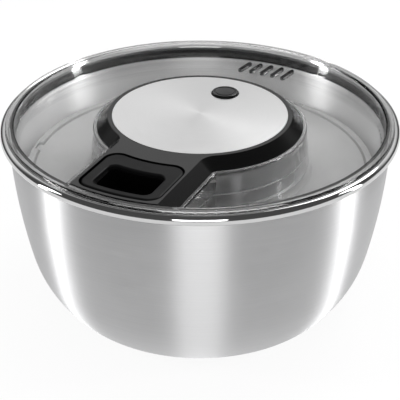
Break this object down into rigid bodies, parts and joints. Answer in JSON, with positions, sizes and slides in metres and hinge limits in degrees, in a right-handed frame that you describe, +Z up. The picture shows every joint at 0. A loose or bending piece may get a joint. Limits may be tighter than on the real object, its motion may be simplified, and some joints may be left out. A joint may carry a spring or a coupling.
{
  "type": "salad spinner",
  "caption": "Round steel bowl with a strainer basket and a clear lid; a cord grip in the lid's black arm spins the basket and a button brakes it.",
  "frame": {"origin": "middle of the bowl's flat base, on the surface it stands on", "axes": "+Z up along the spin axis; -Y along the arm of the cover, the way the grip is pulled out; +X to the right seen from the arm's side"},
  "size_m": [0.266, 0.266, 0.1337],
  "materials": {
    "bowl_steel": "brushed wall with a polished rim",
    "disc_steel": "brushed in circles",
    "bright_steel": "bright",
    "spring_steel": "plain",
    "clear_plastic": "clear, glossy",
    "frosted_plastic": "frosted",
    "basket_plastic": "cloudy, smooth",
    "black_cover": "satin",
    "grip_grey": "matt, soft",
    "black_gloss": "glossy",
    "grey_plastic": "plain moulded",
    "white_plastic": "plain moulded",
    "cord": "braided",
    "rubber": "matt"
  },
  "bodies": {
    "bowl_body": {"bowl": "bowl_steel", "bowl_pivot": "bright_steel"},
    "lid_body": {"lid": "clear_plastic", "top_cover": "black_cover", "cover_disc": "disc_steel", "grip_well": "black_gloss", "cord_eyelet": "bright_steel", "cord_lead": "cord", "spring_case": "grey_plastic", "recoil_spring": "spring_steel", "axle": "bright_steel", "axle_clip": "spring_steel", "housing_base": "grey_plastic", "housing_screws": "bright_steel", "button_spring": "spring_steel"},
    "drum_body": {"cord_drum": "white_plastic", "cord_winding": "cord"},
    "drive_body": {"drive_hub": "grey_plastic", "drive_plate": "frosted_plastic", "plate_screws": "bright_steel"},
    "basket_body": {"basket": "basket_plastic", "basket_bush": "white_plastic"},
    "grip_body": {"grip_frame": "grip_grey", "grip_pocket": "black_gloss", "cord_knot": "cord"},
    "button_body": {"stop_button": "black_gloss", "brake_plunger": "white_plastic", "brake_pad": "rubber"},
    "pawl_body_1": {"pawl_1": "white_plastic"},
    "pawl_body_2": {"pawl_2": "white_plastic"}
  },
  "joints": [
    {"name": "lid_lift", "type": "slide", "parent": "bowl_body", "child": "lid_body", "axis": [0, 0, 1], "range_m": [0, 0.2]},
    {"name": "drum_spin", "type": "hinge", "parent": "lid_body", "child": "drum_body", "pos_m": [0, 0, 0.112], "axis": [0, 0, -1], "range_deg": [0, 828.15], "stiffness_Nm_per_rad": 0.004, "springref_deg": -343.77, "deforming": ["recoil_spring", "cord_lead"]},
    {"name": "freewheel", "type": "hinge", "parent": "drum_body", "child": "drive_body", "pos_m": [0, 0, 0.1], "axis": [0, 0, -1], "continuous": true},
    {"name": "basket_seat", "type": "slide", "parent": "drive_body", "child": "basket_body", "axis": [0, 0, 1], "range_m": [-0.2, 0]},
    {"name": "grip_pull", "type": "slide", "parent": "lid_body", "child": "grip_body", "axis": [0, -0.5, 0.866], "range_m": [0, 0.33]},
    {"name": "button_press", "type": "slide", "parent": "lid_body", "child": "button_body", "axis": [0, 0, -1], "range_m": [0, 0.003], "stiffness_N_per_m": 600, "springref_m": -0.002, "deforming": ["button_spring"]},
    {"name": "pawl_1_swing", "type": "hinge", "parent": "drum_body", "child": "pawl_body_1", "pos_m": [0.0152, 0, 0.1121], "axis": [0, 0, -1], "range_deg": [0, 10.5]},
    {"name": "pawl_2_swing", "type": "hinge", "parent": "drum_body", "child": "pawl_body_2", "pos_m": [-0.0152, 0, 0.1121], "axis": [0, 0, -1], "range_deg": [0, 10.5]}
  ],
  "couplings": [
    {"joint": "drum_spin", "follows": "grip_pull", "rad_per_m": 43.8},
    {"joint": "basket_seat", "follows": "lid_lift", "ratio": -1},
    {"joint": "pawl_2_swing", "follows": "pawl_1_swing", "ratio": 1}
  ]
}
